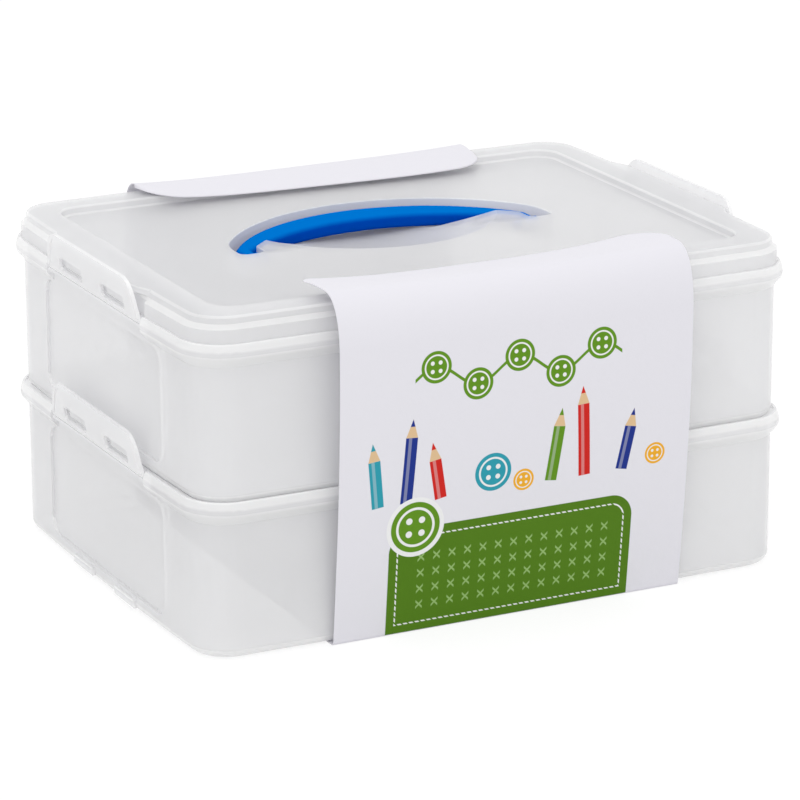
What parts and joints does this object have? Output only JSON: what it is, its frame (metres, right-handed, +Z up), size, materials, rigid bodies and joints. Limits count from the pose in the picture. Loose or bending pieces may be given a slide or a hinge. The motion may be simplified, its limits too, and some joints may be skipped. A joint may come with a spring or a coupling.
{
  "type": "two-layer storage box",
  "caption": "Translucent storage box of stacking trays with latch wings, a lid with a fold-flat carry handle, and a card sleeve round it.",
  "frame": {"origin": "on the underside of the card sleeve, in the middle of the box", "axes": "+X along the long side, +Y from the front face to the back, +Z up"},
  "size_m": [0.358, 0.2833, 0.1867],
  "materials": {
    "clear_plastic": "milky translucent, smooth",
    "blue_plastic": "satin moulded",
    "card": null
  },
  "bodies": {
    "tray_lower": {"tray_lower": "clear_plastic"},
    "tray_upper": {"tray_upper": "clear_plastic"},
    "lid": {"lid": "clear_plastic"},
    "handle": {"handle": "blue_plastic"},
    "card_sleeve": {"card_sleeve": "card"},
    "wing_lower_left": {"wing_lower_left": "clear_plastic"},
    "wing_lower_right": {"wing_lower_right": "clear_plastic"},
    "wing_upper_left": {"wing_upper_left": "clear_plastic"},
    "wing_upper_right": {"wing_upper_right": "clear_plastic"}
  },
  "joints": [
    {"name": "tray_lift", "type": "slide", "parent": "tray_lower", "child": "tray_upper", "axis": [0, 0, 1], "range_m": [0, 0.12], "deforming": ["card_sleeve"]},
    {"name": "lid_lift", "type": "slide", "parent": "tray_upper", "child": "lid", "axis": [0, 0, 1], "range_m": [0, 0.12], "deforming": ["card_sleeve"]},
    {"name": "handle_pivot", "type": "hinge", "parent": "lid", "child": "handle", "pos_m": [0, 0.002, 0.17089], "axis": [1, 0, 0], "range_deg": [0, 100]},
    {"name": "sleeve_slide", "type": "slide", "parent": "tray_lower", "child": "card_sleeve", "axis": [1, 0, 0], "range_m": [0, 0.3]},
    {"name": "wing_lower_left_hinge", "type": "hinge", "parent": "tray_lower", "child": "wing_lower_left", "pos_m": [-0.1752, 0, 0.0827], "axis": [0, -1, 0], "range_deg": [0, 55], "stiffness_Nm_per_rad": 0.05},
    {"name": "wing_lower_right_hinge", "type": "hinge", "parent": "tray_lower", "child": "wing_lower_right", "pos_m": [0.1752, 0, 0.0827], "axis": [0, 1, 0], "range_deg": [0, 55], "stiffness_Nm_per_rad": 0.05},
    {"name": "wing_upper_left_hinge", "type": "hinge", "parent": "tray_upper", "child": "wing_upper_left", "pos_m": [-0.1752, 0, 0.16559], "axis": [0, -1, 0], "range_deg": [0, 55], "stiffness_Nm_per_rad": 0.05},
    {"name": "wing_upper_right_hinge", "type": "hinge", "parent": "tray_upper", "child": "wing_upper_right", "pos_m": [0.1752, 0, 0.16559], "axis": [0, 1, 0], "range_deg": [0, 55], "stiffness_Nm_per_rad": 0.05}
  ]
}
